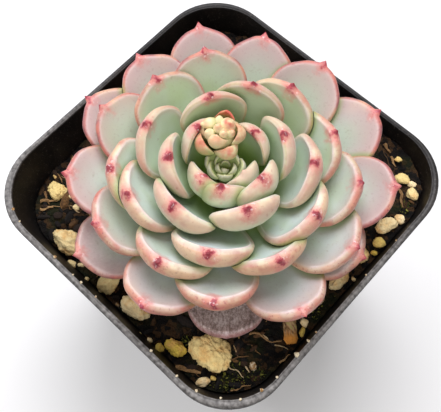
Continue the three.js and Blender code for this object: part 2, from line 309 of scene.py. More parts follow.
def soilHeight(x, y):
    s = soil
    waves = math.sin(x * 0.31 + 1) * math.cos(y * 0.27) + math.sin(x * 0.17 - y * 0.23)
    dip = s["dip"] * math.exp(-(x * x + y * y) / s["dipReach"] ** 2)
    return pot["height"] - s["depth"] + s["slope"] * (x + y) - dip + s["wave"] * waves


def soilSurface(x, y):
    broad = noise.fractal(Vector((x * 0.22, y * 0.22, 3)), 0.9, 2.1, 4)
    crumbs = noise.cell_vector(Vector((x * 1.3, y * 1.3, 0)))[2]
    fine = noise.noise(Vector((x * 1.7, y * 1.7, 9)))
    return soilHeight(x, y) + soil["clods"] * broad + soil["grain"] * (crumbs - 0.5 + fine)


# How far a square of half side 1, with the pot's rounded corners, reaches along a unit vector
def roundedReach(unit):
    corner = pot["corner"] / pot["rim"]
    x, y = abs(unit.x), abs(unit.y)
    if min(x, y) / max(x, y) <= 1 - corner:
        return 1 / max(x, y)
    centre = Vector((1 - corner, 1 - corner))
    along = centre.dot(Vector((x, y)))
    return along + math.sqrt(along * along - centre.dot(centre) + corner * corner)


def makeSoil(material, resting):
    s = soil
    top = rimHeight - s["depth"]
    half = innerHalf(top) - s["gap"]
    piece = addPrimitive(bpy.ops.mesh.primitive_grid_add, x_subdivisions=s["steps"],
                         y_subdivisions=s["steps"], size=2)
    for vertex in piece.data.vertices:
        flat = vertex.co.to_2d()
        ring = max(abs(flat.x), abs(flat.y))
        unit = flat.normalized()
        place = unit * ring * roundedReach(unit) * half if ring > 0 else flat
        vertex.co = (place.x * mm, place.y * mm, top * mm)
    profile = [(half, top)]
    profile += [(innerHalf(height) - s["gap"], height)
                for height in (top - 3, 40, 20, s["bottom"] + pot["footEdge"])]
    profile.append((innerHalf(s["bottom"]) - s["gap"] - pot["footEdge"], s["bottom"]))
    extrudeProfile(piece, profile)
    # the mix gives way under what rests on it
    trees = [treeOf(item.data) for item in resting]
    boxes = [boxOf(item) for item in resting]
    for vertex in piece.data.vertices:
        if vertex.co.z < (top - 0.01) * mm:
            continue
        x, y = vertex.co.x, vertex.co.y
        height = soilSurface(x / mm, y / mm) * mm
        for tree, box in zip(trees, boxes):
            if box[0][0] < x < box[0][1] and box[1][0] < y < box[1][1]:
                below = Vector((x, y, (top - s["rayDepth"]) * mm))
                hit = tree.ray_cast(below, Vector((0, 0, 1)), rayLength)[0]
                if hit is not None:
                    height = min(height, hit.z - s["give"] * mm)
        widen = (innerHalf(height / mm) - s["gap"]) / half
        vertex.co = (x * widen, y * widen, height)
    return finishPiece(piece, "potting_mix", material, ["soil"], 60)


# Damp peat mix: nearly black, matt, crumbly and fibrous, with a green film of moss here and there.
def makePeat():
    material, add, place = newMaterial("damp peat mix", {"Roughness": 0.9, "IOR": 1.35})
    # moss patches 6 mm across, crumbs of 1.1 mm, grit of 0.35 mm
    patches = add("TexNoise", {"Vector": place, "Scale": 1 / 6, "Detail": 2})
    crumbs = add("TexVoronoi", {"Vector": place, "Scale": 1 / 1.1})
    grit = add("TexNoise", {"Vector": place, "Scale": 1 / 0.35, "Detail": 3})
    crumbShade = add("SeparateXYZ", [crumbs.outputs["Color"]])
    shade = add("Math", [grit, 0.6, crumbShade], **timesPlus)
    tint = add("ValToRGB", [shade], [
        (0.3, "#050302"), (0.75, "#0E0905"), (0.95, "#22160B"), (1.0, "#3E2A15")])
    mossShare = add("MapRange", [patches, 0.5, 0.64, 0, 0.65], **soft)
    mossy = add("Mix", {0: mossShare, 6: tint, 7: "#1E240A"}, **rgba)
    return finishMaterial(material, mossy, add("Math", [crumbs, -0.6, grit], **timesPlus), 1.0, 0.6)


# Pumice lumps
pumice = {
    "sink": 0.28, "waves": 6, "swelling": 0.05, "knobs": 0.15, "pits": 0.07,
    "knobPitch": 0.9, "pitPitch": 2.6,      # how closely they lie, per millimetre
    # place, length, width, height, turn, and how yellow
    "lumps": [
        (-27.4, -23, 4.6, 4, 3.4, 20, 0.5), (-16.7, -29.3, 7.6, 5, 4.6, 10, 0.25),
        (-4.2, -29.6, 5.2, 4.4, 3.4, 70, 0.35), (3.5, -29.4, 6.2, 4.8, 4, 20, 0.1),
        (15.4, -29.9, 4.8, 3.4, 2.8, 20, 1.0), (21.3, -26, 8.4, 7.2, 4.6, 10, 0.45),
        (30.3, 1.6, 4.8, 3, 2.8, 80, 0.2), (30.3, 8.4, 3.4, 3.2, 3, 0, 0.3),
        (30.2, 16.6, 4.6, 3, 2.6, 70, 0.15),
    ],
    "small": [
        (12.9, -31.9, 2.0, 1.9, 1.7, 0, 0.9), (23.7, -31.0, 2.9, 2.0, 1.8, 60, 0.1),
        (24.7, -29.1, 1.2, 1.0, 1.0, 0, 0.8), (30.7, -9.4, 1.8, 1.6, 1.5, 0, 0.1),
        (31.6, -11.2, 2.0, 1.3, 1.3, 300, 0.9), (26.4, 27.1, 3.4, 2.6, 2.0, 30, 0.5),
        (28.6, 27.5, 1.9, 1.5, 1.4, 0, 0.0), (30.0, 25.8, 3.0, 2.1, 1.8, 340, 0.35),
        (31.4, 19.6, 2.2, 1.8, 1.6, 0, 0.0), (31.4, 12.8, 2.8, 2.4, 2.2, 40, 0.8),
        (32.0, 10.6, 1.4, 1.2, 1.1, 0, 1.0), (-24.4, -21.9, 1.2, 1.0, 0.9, 0, 0.2),
        (-21.4, -22.9, 1.7, 1.4, 1.2, 0, 0.2), (-13.0, -32.0, 2.6, 1.4, 1.3, 10, 0.3),
        (-11.2, -30.8, 2.0, 1.2, 1.2, 40, 0.2), (10.4, -32.2, 1.3, 1.1, 1.0, 0, 0.1),
        (-8.2, -32.2, 1.2, 1.0, 0.9, 0, 0.3), (32.2, -25.4, 1.0, 0.8, 0.8, 0, 0.1),
        (28.0, -31.0, 1.0, 0.9, 0.8, 0, 0.3), (23.0, 30.2, 1.6, 1.2, 1.0, 20, 0.6),
        (-29.6, -15.5, 1.5, 1.2, 1.0, 0, 0.3), (-30.6, -21.0, 1.1, 0.9, 0.8, 0, 0.5),
        (32.3, 3.9, 1.0, 0.9, 0.8, 0, 0.2), (7.9, -32.8, 1.0, 0.8, 0.8, 0, 0.5),
    ],
}


def seededDraws(seed):
    state = seed
    while True:
        state = (state * 1664525 + 1013904223) % 4294967296
        yield state / 4294967296


def lumpWaves(seed):
    draws = seededDraws(seed)
    waves = []
    for k in range(pumice["waves"]):
        way = Vector([next(draws) - 0.5 for axis in range(3)]).normalized()
        waves.append((way, 2 + 3 * next(draws), 6 * next(draws)))
    return waves


# A lump starts as a ball: broad swellings first, then knobs and pits.
def makeLump(master, lump, seed):
    x, y, length, width, height, turn, yellow = lump
    piece = copyPiece(master)
    waves = lumpWaves(seed)
    size = (length + width) / 4
    toPlace = (Matrix.Translation((x, y, soilHeight(x, y) + (0.5 - pumice["sink"]) * height))
               @ Matrix.Rotation(math.radians(turn), 4, "Z")
               @ Matrix.Diagonal((length / 2, width / 2, height / 2, 1)))
    for vertex in piece.data.vertices:
        point = vertex.co.normalized()
        swelling = sum(math.sin(point.dot(way) * pitch + shift) for way, pitch, shift in waves)
        knobs = noise.fractal(point * size * pumice["knobPitch"] + Vector((seed * 17, 0, 0)), 0.7, 2.1, 4)
        pits = noise.noise(point * size * pumice["pitPitch"] + Vector((0, seed * 17, 0)))
        scale = (0.94 + pumice["swelling"] * swelling + pumice["knobs"] * knobs
                 - pumice["pits"] * max(0.0, pits - 0.15) * 3)
        vertex.co = toPlace @ (point * scale) * mm
    setFloats(piece.data, {"yellow": yellow})
    selectOnly(piece)
    bpy.ops.object.shade_smooth()
    return piece


def makeLumps(material):
    stones = []
    for kind, fineness in (("lumps", 5), ("small", 4)):
        master = addPrimitive(bpy.ops.mesh.primitive_ico_sphere_add, subdivisions=fineness, radius=1)
        made = [makeLump(master, lump, k + 1) for k, lump in enumerate(pumice[kind])]
        removePieces(master)
        if kind == "lumps":
            for k, stone in enumerate(made):
                name = "pumice_%d" % (k + 1)
                stones.append(finishPiece(stone, name + "_stone", material, [name]))
        else:
            joinPieces(made, "small_pumice", material)
    return stones


# Pumice: a dull, porous volcanic froth, cream where it is clean and ochre where it is stained, with
# painted shade in its pores.
def makePumiceStone():
    material, add, place = newMaterial("pumice", {"Roughness": 0.95, "IOR": 1.45})
    # stains 2.5 mm across, pores of 0.4 mm and roughness of 0.2 mm
    stains = add("TexNoise", {"Vector": place, "Scale": 1 / 2.5, "Detail": 3})
    pores = add("TexVoronoi", {"Vector": place, "Scale": 1 / 0.4})
    fine = add("TexNoise", {"Vector": place, "Scale": 1 / 0.2, "Detail": 2})
    yellow = add("Attribute", attribute_name="yellow").outputs["Fac"]
    stainShare = add("MapRange", [stains, 0.45, 0.7, 0, 0.75], **soft)
    # painted shade: darker in the pores
    poreShadeShare = add("MapRange", [pores, 0.22, 0.05, 0, 0.6], **soft)
    shown = "#FFE8B6"
    for share, tint in ((yellow, "#E5C552"), (stainShare, "#E4B066"), (poreShadeShare, "#7E6238")):
        shown = add("Mix", {0: share, 6: shown, 7: tint}, **rgba)
    return finishMaterial(material, shown, fine, 0.7, 0.3)


# Rosette of leaves
rosette = {
    "stemPlace": (2.5, -0.8),
    "domeTop": 20.0, "domeReach": 10.0, "outerReach": 33.0, "outerDrop": 13.0, "heartDrop": 3.0,
    "lowestFoot": -1.5, "highestFoot": 8.0,
    "gap": 0.16,            # between a leaf and the next one pressing on it
    "wobble": 0.35,         # how far a lip line strays from true
    # how near another leaf the painted crevice shade reaches
    "creviceShade": 2.5,         # how near another leaf the skin changes
    "shadedSide": 134,
    # from the innermost leaf to the outermost
    "bend": (70, 40), "thick": (2, 5.9), "cup": (1.8, 0.3), "mucro": (0.55, 1.1),
    "width": 15.4, "narrowing": 2.7,
    "dust": {1: 1.0, 2: 0.1, 3: 0.05, 5: 0.1},
    # turn about the stem, reach of the tip, and for the low leaves the tip's height over the rim
    "tips": [
        (312, 29.2, -1), (248, 32, 1.8), (14, 29.5, 1.2), (105, 30, 1), (182, 30, 0.6),
        (142.5, 35.6, 6.3), (119, 32.6), (94, 31), (68, 33), (39, 32.2), (339, 29.8), (282, 29.4),
        (222, 31), (191, 33), (167, 32.5),
        (194, 27.8), (9, 27.4), (247, 26.4), (143, 25.6), (307, 25.6), (34, 24.4), (171, 22.8),
        (280, 22.3), (226, 21.4), (338, 20.7), (58, 20.4), (93, 18.9), (244, 19), (7, 18.7),
        (302, 18.3),
        (201, 16), (36, 15.3), (114, 14.6), (270, 13.6),
        (330, 11.5), (149, 11.3), (230, 10.1), (58, 10.2), (1, 7.6), (182, 7), (301, 6.4),
        (271, 5.9), (83, 6), (354, 4.2),
    ],
}
blade = {
    "around": 56,
    # rings of points: over the face, from 0 to 1 at its lip, then down the bevel, to 2 at the outline
    "rings": [0, 0.25, 0.45, 0.62, 0.76, 0.86, 0.93, 0.975, 1, 1.1, 1.28, 1.5, 1.72, 1.89, 2],
    "widestAt": 0.7, "middle": 0.6, "footThinness": 0.42, "tipCrowding": 0.6,
    "lipPlace": (0.88, 0.92),   # how far out the lip stands, at the sides and the tip
    "lipHeight": (0.11, 0.21),  # its height there, of the thickness
    "dish": 0.4,                # how far the middle of the face lies under the lip, of its height
    "belly": 0.7,
    "sideWaver": 0.03, "tipWaver": 0.012,   # unevenness of the outline, as shares
    "mucroReach": 0.95,
}
stemProfile = [(0, -16), (4.2, -16), (5, -12), (5.3, -6), (4.9, 0), (3.6, 4), (2.4, 7.5),
               (1.6, 9.6), (0, 10)]


def stemRadius(overRim):
    for (lowRadius, low), (highRadius, high) in zip(stemProfile[1:], stemProfile[2:]):
        if overRim <= high:
            return lerp(lowRadius, highRadius, (overRim - low) / (high - low))
    return 0.0


def domeHeight(reach):
    r = rosette
    if reach > r["domeReach"]:
        outward = (reach - r["domeReach"]) / (r["outerReach"] - r["domeReach"])
        return r["domeTop"] - r["outerDrop"] * outward ** 1.35
    return r["domeTop"] - r["heartDrop"] * ((r["domeReach"] - reach) / 6) ** 1.5


def leafAt(index):
    r = rosette
    tip = r["tips"][index]
    turn, reach = tip[0], tip[1]
    outness = clamp((reach - 4) / (r["outerReach"] - 4))
    footRise = lerp(r["lowestFoot"], r["highestFoot"], index / (len(r["tips"]) - 1))
    shaded = (1 + math.cos(math.radians(turn - r["shadedSide"]))) / 2
    return {
        "turn": turn, "reach": reach, "rise": tip[2] if len(tip) > 2 else domeHeight(reach),
        "foot": r["stemPlace"], "footReach": stemRadius(footRise) + 0.3, "footRise": footRise,
        "bend": lerp(*r["bend"], outness),
        "width": r["width"] - r["narrowing"] * (max(0.0, r["outerReach"] - reach) / 22) ** 3.8,
        "thick": lerp(*r["thick"], math.sqrt(outness)), "cup": lerp(*r["cup"], outness),
        "mucro": lerp(*r["mucro"], outness) if index else 0.3, "outness": outness, "seed": index,
        # the old leaves and those on the shaded side have a rounder margin
        "shaded": shaded, "softness": clamp(0.6 * shaded + 0.6 * smooth(0.5, 1.0, outness)),
    }


# The outline at a turn round it: how far along the leaf and how far to the side, as shares.
def leafOutline(evenTurn):
    turn = evenTurn - blade["tipCrowding"] * math.sin(evenTurn)
    ahead, beside = math.cos(turn), abs(math.sin(turn))
    hand = 1 if math.sin(turn) > 0 else -1
    widest = blade["widestAt"]
    if ahead >= 0:
        return widest + (1 - widest) * (0.88 * ahead ** 0.9 + 0.12 * (1 - beside)), hand * beside ** 0.9
    along = widest * (1 + ahead) ** 0.85
    broad = 0.22 + 0.78 * math.sin(along / widest * math.pi / 2) ** 1.15
    return along, hand * beside ** 0.55 * broad


# Height over the blade's middle surface, as a share of the thickness: a nearly flat face, a lip,
# and a bevel from there down to the outline, crisp on young leaves and rounded on old ones.
def faceLevel(ring, along, softness):
    lip = lerp(*blade["lipHeight"], smooth(0.4, 0.95, along)) * lerp(1.05, 0.6, softness)
    if ring <= 1:
        return lip * (1 - blade["dish"] * (1 - ring ** 3))
    down = ring - 1
    return lip * max(0.0, 1 - down ** lerp(1.1, 2.0, softness)) ** lerp(0.8, 0.5, softness)


# Bends a copy of the master blade into one leaf, and writes where each point lies on it.
def shapeBlade(master, name, leaf):
    piece = copyPiece(master)
    piece.name = name
    rings, softness, half = blade["rings"], leaf["softness"], leaf["width"] / 2
    run, climb = leaf["reach"] - leaf["footReach"], leaf["rise"] - leaf["footRise"]
    bend = math.radians(leaf["bend"])
    radius = math.hypot(run, climb) / (2 * math.sin(bend / 2))
    length = radius * bend
    start = math.atan2(climb, run) - bend / 2
    toPlace = (Matrix.Translation((*leaf["foot"], rimHeight))
               @ Matrix.Rotation(math.radians(leaf["turn"]), 4, "Z"))
    place, spot = (piece.data.attributes.new(key, "FLOAT_VECTOR", "POINT") for key in ("blade", "spot"))
    for vertex in piece.data.vertices:
        co = vertex.co
        row = round(math.acos(min(1.0, abs(co.z))) / (math.pi / 2) * (len(rings) - 1))
        ring = rings[row]
        outAlong, outSide = leafOutline(math.atan2(co.y, co.x))
        lipPlace = lerp(*blade["lipPlace"], smooth(0.55, 0.95, outAlong))
        share = ring * lipPlace if ring <= 1 else lerp(lipPlace, 1, ring - 1)
        along = lerp(blade["middle"], outAlong, share)
        side = outSide * share
        # each leaf grows a little uneven
        wave = noise.noise(Vector((side * 1.1, along * 1.6, leaf["seed"] * 7.3)))
        edgeWave = noise.noise(Vector((side * 2.6, along * 2.2, leaf["seed"] * 3.1 + 40)))
        fullness = clamp(along / blade["widestAt"])
        level = faceLevel(ring, along, softness)
        if co.z <= 0:
            ring = 3 - share
            level = -blade["belly"] * (1 - share ** 3) ** lerp(0.5, 0.85, softness)
        level *= leaf["thick"] * lerp(blade["footThinness"], 1, fullness)
        level += leaf["cup"] * side * side * lerp(0.35, 1, fullness)
        level += rosette["wobble"] * wave * fullness * min(1.0, leaf["width"] / 12)
        across = side * half * (1 + blade["sideWaver"] * edgeWave)
        ahead = along + blade["tipWaver"] * edgeWave * share * fullness
        # the mucro, a small point in the middle of the bevel
        if along > 0.9 and share > 0.9:
            fromTip = math.hypot(across, level - 0.1)
            ahead += leaf["mucro"] / length * max(0.0, 1 - fromTip / blade["mucroReach"]) ** 1.3
        angle = start + bend * ahead
        out = leaf["footReach"] + radius * (math.sin(angle) - math.sin(start)) - level * math.sin(angle)
        up = leaf["footRise"] - radius * (math.cos(angle) - math.cos(start)) + level * math.cos(angle)
        place.data[vertex.index].vector = (ring, along, side)
        spot.data[vertex.index].vector = (across, level, (1 - along) * length)
        vertex.co = toPlace @ Vector((out, across, up)) * mm
    setFloats(piece.data, {"soft": softness, "shaded": leaf["shaded"]})
    selectOnly(piece)
    bpy.ops.object.shade_smooth()
    return piece


# The same surface moved out by the rosette's gap, to cut a neighbour with.
def grownCopy(piece):
    copy = copyPiece(piece)
    normals = [vertex.normal.copy() for vertex in copy.data.vertices]
    for vertex, normal in zip(copy.data.vertices, normals):
        vertex.co += normal * rosette["gap"] * mm
    return copy


def boxOf(piece):
    corners = [vertex.co for vertex in piece.data.vertices]
    return [(min(c[k] for c in corners), max(c[k] for c in corners)) for k in range(3)]


def boxesMeet(one, other):
    return all(one[k][0] < other[k][1] and other[k][0] < one[k][1] for k in range(3))


def keepLargest(mesh):
    shape = bmesh.new()
    shape.from_mesh(mesh)
    waiting = set(shape.verts)
    groups = []
    while waiting:
        front = {waiting.pop()}
        group = list(front)
        while front:
            front = {edge.other_vert(vertex) for vertex in front for edge in vertex.link_edges} & waiting
            waiting -= front
            group += front
        groups.append(group)
    groups.sort(key=len)
    loose = [vertex for group in groups[:-1] for vertex in group]
    bmesh.ops.delete(shape, geom=loose, context="VERTS")
    shape.to_mesh(mesh)
    shape.free()


# A cut or a join leaves new points, which take their place on the piece from the one before it.
def copyPlaces(source, mesh):
    tree = treeOf(source)
    vectors, floats = ([(source.attributes[key].data, mesh.attributes[key].data)
                        for key in keys if key in source.attributes]
                       for keys in (("blade", "spot"), ("soft", "shaded", "hue", "blush")))
    for vertex in mesh.vertices:
        point, normal, face, away = tree.find_nearest(vertex.co)
        corners = list(source.polygons[face].vertices)
        weights = [1 / ((source.vertices[c].co - point).length + 1e-7) for c in corners]
        for old, new in vectors:
            value = sum((Vector(old[c].vector) * w for c, w in zip(corners, weights)), Vector())
            new[vertex.index].vector = value / sum(weights)
        for old, new in floats:
            new[vertex.index].value = old[corners[0]].value


def cutClear(piece, cutters):
    whole = piece.data.copy()
    runBoolean(piece, "DIFFERENCE", cutters)
    keepLargest(piece.data)
    copyPlaces(whole, piece.data)
    bpy.data.meshes.remove(whole)


# Joins what grew together into one skin.
def fuse(parts):
    first = parts[0]
    selectOnly(*parts)
    bpy.ops.object.duplicate()
    bpy.ops.object.join()
    together = bpy.context.object
    runBoolean(first, "UNION", parts[1:])
    removePieces(*parts[1:])
    keepLargest(first.data)
    copyPlaces(together.data, first.data)
    removePieces(together)
    return first


# Heart and flower buds
heart = {
    "middle": (2.6, -1.6), "rise": 12.4,
    # turn, reach, tip over the rim, width, of the leaves still folded together
    "leaves": [
        (300, 0.6, 14.0, 1.6), (130, 0.9, 14.2, 1.9), (230, 1.3, 14.3, 2.2), (20, 1.6, 14.6, 2.6),
        (165, 2.0, 14.7, 2.8), (310, 2.2, 14.8, 3.0), (95, 2.5, 15.2, 3.6), (240, 2.9, 15.1, 3.8),
        (30, 3.2, 15.4, 4.2), (195, 3.4, 15.3, 4.2),
    ],
}
bunch = {
    "middle": (-1.1, 1.2), "rise": 16.9, "coreRadius": 2.5, "stalk": (1.1, 1.5, 10.5),
    # turn, reach, tip over the rim, foot, width, thickness, bend, hue from green to cream, blush
    "bracts": [
        (116, 3.9, 19.4, 15.0, 4.0, 1.5, 70, 0.26, 1.0), (250, 3.7, 18.8, 13.6, 5.0, 2.0, 95, 0.36, 0.8),
        (286, 1.6, 20.0, 16.2, 4.0, 1.5, 120, 0.58, 0.5), (42, 3.2, 19.7, 15.0, 4.3, 1.9, 90, 0.50, 0.6),
        (338, 3.2, 18.2, 13.6, 4.8, 2.0, 95, 0.48, 0.8), (205, 3.1, 18.8, 14.5, 3.2, 1.5, 80, 0.40, 0.3),
        (75, 3.0, 18.9, 14.5, 3.2, 1.4, 80, 0.30, 0.3),
    ],
    # place of the middle over the rim, half length and half width, way its tip points, hue, blush
    "buds": [
        ((-0.8, 2.8, 19.3), 1.6, 1.45, (0.2, 0.1, 1), 0.62, 1.0),
        ((-3.5, 1.1, 18.9), 1.9, 1.15, (-0.5, -0.8, 0.35), 0.60, 0.8),
        ((-1.5, 1.1, 19.6), 1.25, 0.95, (0, 0, 1), 0.60, 0.5),
        ((-2.1, -0.5, 19.0), 1.4, 1.05, (-0.3, -0.5, 1), 0.58, 0.5),
        ((-0.2, 1.0, 19.5), 1.0, 0.85, (0.3, 0, 1), 0.66, 1.0),
        ((-2.5, 2.4, 18.9), 1.3, 1.05, (-0.4, 0.5, 1), 0.52, 0.3),
        ((0.4, 2.1, 18.9), 1.2, 0.95, (0.5, 0.2, 1), 0.56, 0.6),
    ],
}


def makeHeart(master):
    h = heart
    parts = []
    for k, (turn, reach, rise, width) in enumerate(h["leaves"]):
        outness = k / (len(h["leaves"]) - 1)
        parts.append(shapeBlade(master, "heart_leaf", {
            "turn": turn, "reach": reach, "rise": rise, "foot": h["middle"], "footReach": 0.1,
            "footRise": h["rise"] - lerp(0.8, 1.4, outness), "bend": 50, "width": width,
            "thick": lerp(0.9, 1.5, outness), "cup": 0.5, "mucro": 0.25, "seed": 60 + k,
            "softness": 0.3, "shaded": 0.5,
        }))
    return parts


# A closed bud: a ball drawn to a blunt point, with five faint seams where its scales meet.
def modelBud():
    master = addPrimitive(bpy.ops.mesh.primitive_uv_sphere_add, segments=30, ring_count=18, radius=1)
    for vertex in master.data.vertices:
        co = vertex.co
        turn = math.atan2(co.y, co.x)
        seam = 1 - 0.05 * max(0.0, math.cos(2.5 * turn) ** 8) * (1 - co.z * co.z)
        pinch = 1 - 0.28 * smooth(0.0, 1.0, co.z)
        vertex.co = Vector((co.x * seam * pinch, co.y * seam * pinch, co.z))
    return master


def makeBunch(master):
    b = bunch
    x, y = (v * mm for v in b["middle"])
    top = (rimHeight + b["rise"]) * mm
    lowRadius, topRadius, length = (v * mm for v in b["stalk"])
    stalk = addPrimitive(bpy.ops.mesh.primitive_cone_add, vertices=32, radius1=lowRadius,
                         radius2=topRadius, depth=length, location=(x, y, top - length / 2))
    core = addPrimitive(bpy.ops.mesh.primitive_uv_sphere_add, segments=32, ring_count=20,
                        radius=b["coreRadius"] * mm, location=(x, y, top))
    parts = [(stalk, 0.15, 0.0), (core, 0.85, 0.0)]
    budMaster = modelBud()
    for middle, halfLength, halfWidth, way, hue, blush in b["buds"]:
        bud = copyPiece(budMaster)
        place = bud.data.attributes.new("blade", "FLOAT_VECTOR", "POINT")
        for vertex in bud.data.vertices:
            place.data[vertex.index].vector = (0, (vertex.co.z + 1) / 2, 0)
        bud.data.transform(Matrix.Scale(mm, 4)
                           @ Matrix.Translation(Vector(middle) + Vector((0, 0, rimHeight)))
                           @ Vector(way).to_track_quat("Z", "Y").to_matrix().to_4x4()
                           @ Matrix.Diagonal((halfWidth, halfWidth, halfLength, 1)))
        parts.append((bud, hue, blush))
    removePieces(budMaster)
    for part, hue, blush in parts:
        for key in ("blade", "spot"):
            if key not in part.data.attributes:
                part.data.attributes.new(key, "FLOAT_VECTOR", "POINT")
        setFloats(part.data, {"hue": hue, "blush": blush, "soft": 0.0, "shaded": 0.0})
    for k, (turn, reach, rise, foot, width, thick, bend, hue, blush) in enumerate(b["bracts"]):
        bract = shapeBlade(master, "bract", {
            "turn": turn, "reach": reach, "rise": rise, "foot": b["middle"], "footReach": 0.4,
            "footRise": foot, "bend": bend, "width": width, "thick": thick, "cup": 1.2,
            "mucro": 0.25, "seed": 80 + k, "softness": 0.8, "shaded": 0.0,
        })
        setFloats(bract.data, {"hue": hue, "blush": blush})
        parts.append((bract, hue, blush))
    return [part for part, hue, blush in parts]


# Young sepals and bracts: the same waxy skin, cream to yellow, blushed orange and pink at the tips.
def makeBudSkin():
    material, add, place = newMaterial("young sepal skin", {
        "Roughness": 0.38, "IOR": 1.42, "Subsurface Weight": 0.12, "Subsurface Scale": 0.0008,
        "Subsurface Radius": (1.0, 0.8, 0.5)})
    hue, blush = (add("Attribute", attribute_name=name).outputs["Fac"] for name in ("hue", "blush"))
    bladePlace = add("Attribute", attribute_name="blade").outputs["Vector"]
    along = add("SeparateXYZ", [bladePlace]).outputs["Y"]
    # washes of colour 1.6 mm across
    washes = add("TexNoise", {"Vector": place, "Scale": 1 / 1.6, "Detail": 2})
    shifted = add("Math", [hue, add("Math", [along, 0.55, -0.55], **timesPlus)], operation="ADD")
    varied = add("Math", [washes, 0.3, shifted], **timesPlus)
    tint = add("ValToRGB", [varied], [
        (0.1, "#84954A"), (0.35, "#B9B97C"), (0.55, "#E2D5A6"), (0.75, "#EED3A2"), (0.95, "#E8B98C")])
    atTip = add("MapRange", [along, 0.62, 0.96], **soft)
    tipWash = add("Math", [atTip, add("MapRange", [washes, 0.3, 0.6])], **times)
    tipShare = add("Math", [tipWash, blush], **times)
    return finishMaterial(material, add("Mix", {0: tipShare, 6: tint, 7: "#CB6252"}, **rgba))


# How close each point lies to the other leaves, for a painted shade: the skin is painted greener and
# darker in the crevices.
def writeTone(leaves):
    trees = [treeOf(leaf.data) for leaf in leaves]
    boxes = [boxOf(leaf) for leaf in leaves]
    reach = rosette["creviceShade"] * mm
    for i, leaf in enumerate(leaves):
        wide = [(low - reach, high + reach) for low, high in boxes[i]]
        others = [trees[k] for k in range(len(leaves)) if k != i and boxesMeet(wide, boxes[k])]
        tone = leaf.data.attributes.new("tone", "FLOAT_VECTOR", "POINT")
        isLeaf = i < len(rosette["tips"])
        dust = rosette["dust"].get(i + 1, 0.0)
        age = leafAt(i)["outness"] if isLeaf else -0.5
        for vertex in leaf.data.vertices:
            away = reach
            for tree in others:
                found = tree.find_nearest(vertex.co, reach)
                if found[3] is not None:
                    away = min(away, found[3])
            tone.data[vertex.index].vector = (age, 1 - away / reach, dust)


def makePlant(skin, budSkin):
    master = addPrimitive(bpy.ops.mesh.primitive_uv_sphere_add, segments=blade["around"],
                          ring_count=2 * (len(blade["rings"]) - 1), radius=1)
    count = len(rosette["tips"])
    leaves = [shapeBlade(master, "leaf_%02d_blade" % (i + 1), leafAt(i)) for i in range(count)]
    heartParts = makeHeart(master)
    bunchParts = makeBunch(master)
    removePieces(master)
    grownHeart = [grownCopy(part) for part in heartParts]
    grownBunch = [grownCopy(part) for part in bunchParts]
    young = fuse(heartParts)
    cutClear(young, grownBunch)
    buds = fuse(bunchParts)
    grown = [grownCopy(leaf) for leaf in leaves] + grownHeart + grownBunch
    boxes = [boxOf(copy) for copy in grown]
    for i, leaf in enumerate(leaves):
        box = boxOf(leaf)
        above = [grown[k] for k in range(i + 1, len(grown)) if boxesMeet(box, boxes[k])]
        if above:
            cutClear(leaf, above)
        finishPiece(leaf, leaf.name, skin, ["leaf_%02d" % (i + 1)], 42)
    removePieces(*grown)
    finishPiece(young, "heart_leaves", skin, ["heart"], 42)
    finishPiece(buds, "bud_cluster", budSkin, ["flower_buds"], 42)
    writeTone(leaves + [young])
    return leaves


# Stem
def makeStem(material):
    x, y = rosette["stemPlace"]
    profile = [(radius, rimHeight + height) for radius, height in [(0.4, -16)] + stemProfile[1:-1]]
    radius, height = profile[0]
    piece = addPrimitive(bpy.ops.mesh.primitive_circle_add, vertices=40, radius=radius * mm,
                         fill_type="NGON", location=(x * mm, y * mm, height * mm))
    extrudeProfile(piece, profile, x, y)
    return finishPiece(piece, "stem_core", material, ["stem"], 50)


# Corky young stem: dull green-brown, ringed with old leaf scars 1.5 mm apart.
def makeStemSkin():
    material, add, place = newMaterial("corky stem", {"Roughness": 0.8})
    scars = add("TexWave", {"Vector": place, "Scale": 0.21, "Distortion": 3},
                bands_direction="Z").outputs["Fac"]
    tint = add("ValToRGB", [scars], [(0.2, "#5C5A3A"), (0.8, "#8C8F5C")])
    return finishMaterial(material, tint, scars, 0.5, 0.3)


# Bark chip
bark = {
    "place": (29.6, -12.4), "length": 5.2, "radius": 1.3, "turn": 315, "crack": 0.14,
    "endRound": 0.45, "flatness": 0.8,
}


# A broken bit of bark, split along its grain, with frayed ends.
def makeBark(material):
    b = bark
    piece = addPrimitive(bpy.ops.mesh.primitive_cylinder_add, vertices=28, radius=b["radius"],
                         depth=b["length"], end_fill_type="TRIFAN", rotation=(0, math.pi / 2, 0))
    editWhole(bpy.ops.mesh.subdivide, number_cuts=5)
    fresh = piece.data.attributes.new("fresh", "FLOAT", "POINT")
    toPlace = (Matrix.Translation((*b["place"], soilHeight(*b["place"]) + b["radius"] / 2))
               @ Matrix.Rotation(math.radians(b["turn"]), 4, "Z"))
    for vertex in piece.data.vertices:
        co = vertex.co
        grain = noise.noise(Vector((co.x * 0.35, co.y * 2.4, co.z * 2.4)))
        fray = noise.noise(Vector((0, co.y * 3.5, co.z * 3.5 + 7)))
        outness = co.x / b["length"] * 2
        crack = b["crack"] * math.exp(-((outness - 0.25 - 0.2 * fray) / 0.07) ** 2)
        ending = b["endRound"] * smooth(0.7, 1.05, abs(outness)) ** 2
        shrink = 1 + 0.2 * grain - crack - ending
        fresh.data[vertex.index].value = smooth(0.2, 0.55, outness + 0.25 * fray)
        vertex.co = toPlace @ Vector((co.x * (1 + 0.1 * fray), co.y * shrink,
                                      co.z * shrink * b["flatness"])) * mm
    return finishPiece(piece, "bark_piece", material, ["bark_chip"], 40)


